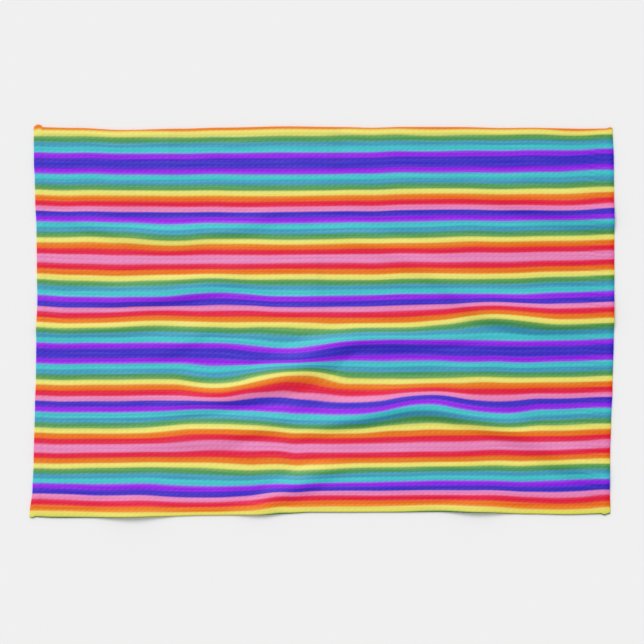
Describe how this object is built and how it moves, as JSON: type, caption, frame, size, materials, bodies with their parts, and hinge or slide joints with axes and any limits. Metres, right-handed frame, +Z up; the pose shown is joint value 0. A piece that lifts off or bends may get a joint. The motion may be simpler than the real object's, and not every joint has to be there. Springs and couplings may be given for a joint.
{
  "type": "flat striped tea towel",
  "caption": "Printed waffle-cloth tea towel with turned hems, lying open and flat with soft ripples, for drying dishes or dressing a worktop.",
  "frame": {"origin": "middle of the towel's outline, on the surface it lies on", "axes": "+X along the length, +Y across the towel to its far long edge, +Z up from the surface"},
  "size_m": [0.6148, 0.4116, 0.009],
  "materials": {
    "printed_waffle_cloth": "matt waffle weave printed on its upper face with narrow soft-edged stripes along the length: orange, yellow, green, steel blue, turquoise, purple, indigo, pink and red, in a mirrored repeat; back plain off-white"
  },
  "bodies": {
    "root": {"towel": "printed_waffle_cloth"}
  },
  "joints": []
}
